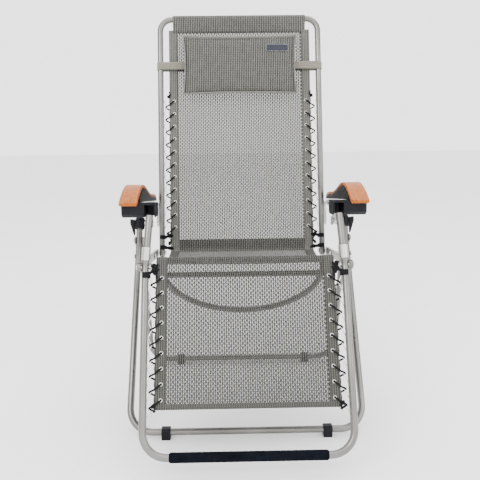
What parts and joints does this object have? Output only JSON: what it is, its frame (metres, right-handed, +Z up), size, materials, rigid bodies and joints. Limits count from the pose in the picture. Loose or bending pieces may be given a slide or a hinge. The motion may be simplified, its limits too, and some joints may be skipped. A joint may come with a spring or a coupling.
{
  "type": "zero gravity recliner",
  "caption": "Folding steel lounge chair with a laced mesh sling, reclining back and leg rest, wood-look armrests and a sliding head pillow.",
  "frame": {"origin": "on the floor under the middle of the chair's bounding box, in the upright position", "axes": "+Z up, -Y is the way the sitter faces, +X across the chair; the chair is mirror-symmetric in X"},
  "size_m": [0.704, 0.8072, 1.1868],
  "materials": {
    "frame_steel": "satin silver grey powder coat",
    "bright_steel": "brushed",
    "black_plastic": "moulded, fine texture",
    "armrest_wood": "orange brown, satin lacquer",
    "sling_mesh": "coarse woven coated mesh, vertical light, taupe and black threads",
    "pillow_fabric": "coarse weave, taupe",
    "strap_webbing": "elastic webbing",
    "foot_bar_cover": "soft foam rubber",
    "lacing_wire": "drawn wire",
    "elastic_cord": "braided elastic cord"
  },
  "bodies": {
    "front_stand": {"front_leg_frame": "frame_steel", "front_foot_left": "black_plastic", "front_foot_right": "black_plastic", "leg_cap_left": "black_plastic", "leg_cap_right": "black_plastic", "lock_disc_left": "bright_steel", "lock_disc_right": "bright_steel", "hub_bolt_left": "bright_steel", "hub_bolt_right": "bright_steel", "seat_pivot_bolt_left": "bright_steel", "seat_pivot_bolt_right": "bright_steel"},
    "rear_stand": {"rear_leg_frame": "frame_steel", "rear_foot_left": "black_plastic", "rear_foot_right": "black_plastic", "hub_bracket_left": "bright_steel", "hub_bracket_right": "bright_steel"},
    "seat": {"seat_rail_left": "frame_steel", "seat_rail_right": "frame_steel", "seat_crossbar": "frame_steel", "seat_sling": "sling_mesh"},
    "back_pivot": {"back_pivot_bolt_left": "bright_steel", "back_pivot_bolt_right": "bright_steel", "seat_rear_band": "sling_mesh"},
    "back": {"back_frame": "frame_steel", "back_bow": "frame_steel", "back_sling": "sling_mesh", "back_top_hem": "sling_mesh", "back_wire_left": "lacing_wire", "back_wire_right": "lacing_wire", "back_cord_left": "elastic_cord", "back_cord_right": "elastic_cord"},
    "headrest": {"headrest_pillow": "pillow_fabric", "headrest_strap": "strap_webbing"},
    "knee_pivot": {"knee_pivot_bolt_left": "bright_steel", "knee_pivot_bolt_right": "bright_steel", "seat_front_band": "sling_mesh"},
    "leg_rest": {"leg_frame": "frame_steel", "foot_bar_sleeve": "foot_bar_cover", "leg_sling": "sling_mesh", "knee_sleeve_left": "bright_steel", "knee_sleeve_right": "bright_steel", "leg_wire_left": "lacing_wire", "leg_wire_right": "lacing_wire", "leg_cord_left": "elastic_cord", "leg_cord_right": "elastic_cord"},
    "arm_pivot": {"arm_pivot_bolt_left": "bright_steel", "arm_pivot_bolt_right": "bright_steel", "arm_stop_plate_left": "bright_steel", "arm_stop_plate_right": "bright_steel"},
    "armrests": {"armrest_bracket_left": "bright_steel", "armrest_bracket_right": "bright_steel", "armrest_base_left": "black_plastic", "armrest_base_right": "black_plastic", "armrest_pad_left": "armrest_wood", "armrest_pad_right": "armrest_wood", "lock_housing_left": "black_plastic", "lock_housing_right": "black_plastic"},
    "lever_left": {"lock_lever_left": "black_plastic"},
    "lever_right": {"lock_lever_right": "black_plastic"}
  },
  "joints": [
    {"name": "fold", "type": "hinge", "parent": "front_stand", "child": "rear_stand", "pos_m": [0, 0.124, 0.487], "axis": [1, 0, 0], "range_deg": [-44, 0]},
    {"name": "seat_fold", "type": "hinge", "parent": "front_stand", "child": "seat", "pos_m": [0, 0.0936, 0.443], "axis": [1, 0, 0], "range_deg": [-74.5, 0.5]},
    {"name": "back_fold", "type": "hinge", "parent": "seat", "child": "back_pivot", "pos_m": [0, 0.199, 0.429], "axis": [1, 0, 0], "range_deg": [-0.5, 63.5]},
    {"name": "recline", "type": "hinge", "parent": "back_pivot", "child": "back", "pos_m": [0, 0.199, 0.429], "axis": [-1, 0, 0], "range_deg": [0, 38]},
    {"name": "knee_fold", "type": "hinge", "parent": "seat", "child": "knee_pivot", "pos_m": [0, -0.19, 0.48], "axis": [1, 0, 0], "range_deg": [-0.5, 63.5]},
    {"name": "leg_recline", "type": "hinge", "parent": "knee_pivot", "child": "leg_rest", "pos_m": [0, -0.19, 0.48], "axis": [-1, 0, 0], "range_deg": [-0.5, 38.5]},
    {"name": "arm_fold", "type": "hinge", "parent": "back", "child": "arm_pivot", "pos_m": [0, 0.23821, 0.58092], "axis": [1, 0, 0], "range_deg": [-63.5, 0.5]},
    {"name": "arm_recline", "type": "hinge", "parent": "arm_pivot", "child": "armrests", "pos_m": [0, 0.23821, 0.58092], "axis": [-1, 0, 0], "range_deg": [-38.5, 0.5]},
    {"name": "headrest_slide", "type": "slide", "parent": "back", "child": "headrest", "axis": [0, 0.2499, 0.9683], "range_m": [-0.08, 0.03]},
    {"name": "lever_left_turn", "type": "hinge", "parent": "front_stand", "child": "lever_left", "pos_m": [0, 0.157, 0.534], "axis": [1, 0, 0], "range_deg": [0, 60]},
    {"name": "lever_right_turn", "type": "hinge", "parent": "front_stand", "child": "lever_right", "pos_m": [0, 0.157, 0.534], "axis": [1, 0, 0], "range_deg": [0, 60]}
  ],
  "couplings": [
    {"joint": "seat_fold", "follows": "fold", "ratio": 1.6818},
    {"joint": "back_fold", "follows": "fold", "ratio": -1.4318},
    {"joint": "knee_fold", "follows": "fold", "ratio": -1.4318},
    {"joint": "arm_fold", "follows": "fold", "ratio": 1.4318},
    {"joint": "leg_recline", "follows": "recline", "ratio": 1},
    {"joint": "arm_recline", "follows": "recline", "ratio": -1}
  ]
}
